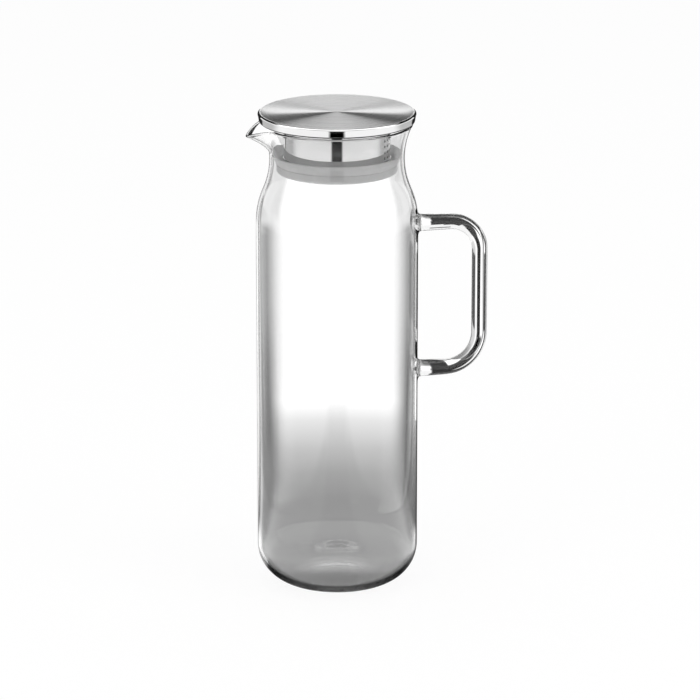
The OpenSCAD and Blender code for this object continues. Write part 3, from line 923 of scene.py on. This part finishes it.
# Patches on the backdrop: across and up in metres, width of the soft edge, brightness
patches = {
    "upperArm": {"across": (0.0615, 0.0765), "up": (0.1915, 0.2175), "soft": 0.0012, "level": 0.0},
    "upperBend": {"across": (0.074, 0.088), "up": (0.196, 0.211), "soft": 0.0025, "level": 0.0},
    "grip": {"across": (0.082, 0.0915), "up": (0.134, 0.2005), "soft": 0.001, "level": 0.0},
    "lowerBend": {"across": (0.075, 0.0885), "up": (0.119, 0.1375), "soft": 0.0025, "level": 0.0},
    "lowerArm": {"across": (0.06, 0.0765), "up": (0.1152, 0.131), "soft": 0.0012, "level": 0.0},
    "bodyEdge": {"across": (0.054, 0.0665), "up": (0.0, 0.21), "soft": 0.0015, "level": 0.0},
    "gripRight": {"across": (0.0527, 0.0718), "up": (0.137, 0.187), "soft": 0.002, "level": 0.0},
    "gripLeft": {"across": (0.0973, 0.15), "up": (0.137, 0.187), "soft": 0.0033, "level": 0.05},
    "upperLine": {"across": (0.053, 0.068), "up": (0.2247, 0.2332), "soft": 0.0014, "level": 0.2},
    "upperRoot": {"across": (0.0535, 0.0655), "up": (0.2031, 0.2154), "soft": 0.0012, "level": 0.0},
    "lowerRoot": {"across": (0.0535, 0.0655), "up": (0.119, 0.1245), "soft": 0.0012, "level": 0.0},
    "lowerWhite": {"across": (0.066, 0.08), "up": (0.0794, 0.1139), "soft": 0.0008, "level": 1.2},
    "lidLeft": {"across": (-0.0922, -0.0491), "up": (0.255, 0.326), "soft": 0.0025, "level": 0.02},
    "lidRight": {"across": (0.0491, 0.0868), "up": (0.255, 0.326), "soft": 0.0025, "level": 0.02},
}


# A clear sheet behind the jug whose patches are seen by glass and metal alone
def makeBackdrop():
    material = bpy.data.materials.new("backdrop")
    tree = emptyTree(material)
    x, _, z = splitVector(tree, addNode(tree, "ShaderNodeTexCoord", (-1100, 0)).outputs["Object"], (-900, 0))
    cover, level = 0.0, 0.0
    for patch in patches.values():
        (left, right), (low, high), soft = patch["across"], patch["up"], patch["soft"]
        solid = both(tree, between(tree, x, (left, left + soft), (right, right - soft)),
                     between(tree, z, (low, low + soft), (high, high - soft)))
        level = blend(tree, solid, level, patch["level"])
        cover = calc(tree, "MAXIMUM", cover, solid)
    light = addNode(tree, "ShaderNodeLightPath", (-600, 400))
    rays = calc(tree, "MAXIMUM", light.outputs["Is Glossy Ray"], light.outputs["Is Transmission Ray"])
    rays = calc(tree, "MULTIPLY", rays, calc(tree, "SUBTRACT", 1.0, light.outputs["Is Camera Ray"]))
    clear = addNode(tree, "ShaderNodeBsdfTransparent", (-300, 200))
    surface = mixShaders(tree, both(tree, rays, cover), clear.outputs["BSDF"], glow(tree, level))
    output = addNode(tree, "ShaderNodeOutputMaterial", (300, 0))
    tree.links.new(surface, output.inputs["Surface"])
    deselectAll()
    bpy.ops.mesh.primitive_plane_add(size=1.0, location=(0, 0, 0))
    plane = bpy.context.object
    plane.name = "backdrop"
    bpy.ops.object.mode_set(mode="EDIT")
    bpy.ops.transform.rotate(value=pi / 2, orient_axis="X", center_override=(0, 0, 0))
    bpy.ops.transform.resize(value=(backdrop["width"], 1.0, backdrop["height"]), center_override=(0, 0, 0))
    bpy.ops.transform.translate(value=(0, 0, backdrop["height"] / 2))
    bpy.ops.object.mode_set(mode="OBJECT")
    turn = radians(shot["azimuth"])
    plane.location = (-sin(turn) * backdrop["behind"], cos(turn) * backdrop["behind"], 0)
    plane.rotation_euler = (0, 0, turn)
    plane.data.materials.append(material)


lamps = {
    "lampLeft": {"place": (-1.5, -1.1, 1.3), "power": 9.0, "size": 1.4},
    "lampRight": {"place": (1.5, -1.1, 1.3), "power": 9.0, "size": 1.4},
    "lampTop": {"place": (0.0, 0.2, 2.2), "power": 10.0, "size": 1.8},
}
lampAim = Vector((0, 0, 0.15))


def makeLamps():
    for name, settings in lamps.items():
        data = bpy.data.lights.new(name, "AREA")
        data.energy, data.size = settings["power"], settings["size"]
        lamp = bpy.data.objects.new(name, data)
        lamp.location = settings["place"]
        lamp.rotation_mode = "QUATERNION"
        lamp.rotation_quaternion = (lampAim - Vector(settings["place"])).to_track_quat("-Z", "Y")
        lamp.visible_glossy = lamp.visible_transmission = False
        bpy.context.scene.collection.objects.link(lamp)


# Spans of turn and of height in the world, where 1 is straight up, and how bright each part is
skyLook = {
    "panelRise": (-0.0153, 0.0147), "panelFall": (0.5, 0.44), "panelFrom": (0.23, 0.3), "panelTo": (0.66, 0.6),
    "panelLevel": 0.02, "stripBehind": (0.25, 0.18), "stripUp": (0.3, 0.42), "stripLevel": 2.2,
    "skyUp": (0.28, 0.56), "skyLow": 1.3, "skyHigh": 0.62, "zenithUp": (0.93, 0.945), "zenithLevel": 3.0,
    "transmitted": 1.2, "diffuse": 0.9, "fill": 1.23,
}


# Metal sees a bright horizon, a dark panel higher up behind the jug and to its sides, and a strip light overhead
def makeWorld():
    world = bpy.data.worlds.new("studio")
    bpy.context.scene.world = world
    tree = emptyTree(world)
    direction = addNode(tree, "ShaderNodeTexCoord", (-1200, 0)).outputs["Generated"]
    where = useGroup(tree, studioMap, (-1000, 0), Vector=direction)
    up = splitVector(tree, direction, (-1000, -200))[2]
    panel = both(tree, between(tree, where.outputs["Turn"], skyLook["panelRise"], skyLook["panelFall"]),
                 between(tree, up, skyLook["panelFrom"], skyLook["panelTo"]))
    offStrip = calc(tree, "ABSOLUTE", where.outputs["Behind"])
    strip = both(tree, fade(tree, offStrip, *skyLook["stripBehind"]), fade(tree, up, *skyLook["stripUp"]))
    sky = fade(tree, up, *skyLook["skyUp"], toLow=skyLook["skyLow"], toHigh=skyLook["skyHigh"])
    shine = blend(tree, panel, sky, skyLook["panelLevel"])
    shine = calc(tree, "MULTIPLY_ADD", strip, skyLook["stripLevel"], shine)
    zenith = fade(tree, up, *skyLook["zenithUp"])
    level = calc(tree, "MULTIPLY_ADD", zenith, skyLook["zenithLevel"], skyLook["transmitted"])
    light = addNode(tree, "ShaderNodeLightPath", (-600, 400))
    bounced = calc(tree, "GREATER_THAN", light.outputs["Diffuse Depth"], 0.5)
    level = blend(tree, bounced, level, skyLook["fill"])
    shine = blend(tree, bounced, shine, skyLook["fill"])
    strength = mixLevels(tree, light.outputs["Is Glossy Ray"], skyLook["diffuse"], shine)
    strength = mixLevels(tree, light.outputs["Is Transmission Ray"], strength, level)
    strength = mixLevels(tree, light.outputs["Is Camera Ray"], strength, 1.0)
    background = addNode(tree, "ShaderNodeBackground", (600, 0))
    plug(tree, strength, background.inputs["Strength"])
    output = addNode(tree, "ShaderNodeOutputWorld", (800, 0))
    tree.links.new(background.outputs["Background"], output.inputs["Surface"])


makeFloor()
makeBackdrop()
makeLamps()
makeWorld()
scene = bpy.context.scene
scene.view_settings.view_transform = "Standard"
scene.cycles.max_bounces = 24
scene.cycles.transmission_bounces = 24
scene.cycles.glossy_bounces = 12
scene.cycles.transparent_max_bounces = 24
deselectAll()
print("studio ready")
